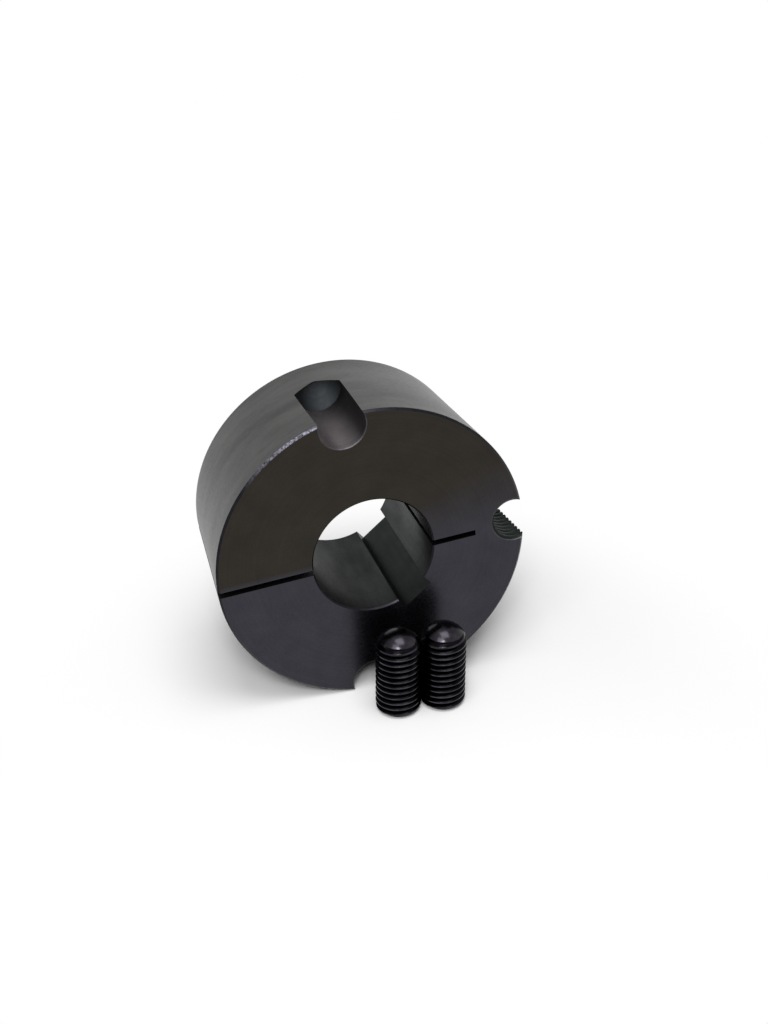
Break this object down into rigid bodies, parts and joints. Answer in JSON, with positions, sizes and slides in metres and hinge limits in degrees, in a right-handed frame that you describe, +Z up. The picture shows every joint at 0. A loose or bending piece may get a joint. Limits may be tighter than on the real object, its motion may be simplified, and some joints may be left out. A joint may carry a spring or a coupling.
{
  "type": "taper lock bushing",
  "caption": "Split tapered bush with a keyed bore and half-round screw holes round its rim, which wedges a hub onto a shaft, with domed set screws standing beside it.",
  "frame": {"origin": "middle of the bore, on its axis and halfway along the bush", "axes": "+Z up from the surface the bush stands on, -Y towards the large face and the screws, +X to the right seen from the large face; the bore's axis lies in the YZ plane and leans back 3.08 degrees"},
  "size_m": [0.1078, 0.0772, 0.1072],
  "materials": {
    "blackened_iron": "turned and blackened, satin",
    "black_oxide_steel": "black oxide with a film of oil, glossy"
  },
  "bodies": {
    "root": {"bush": "blackened_iron", "set_screw_left": "black_oxide_steel", "set_screw_right": "black_oxide_steel"}
  },
  "joints": []
}
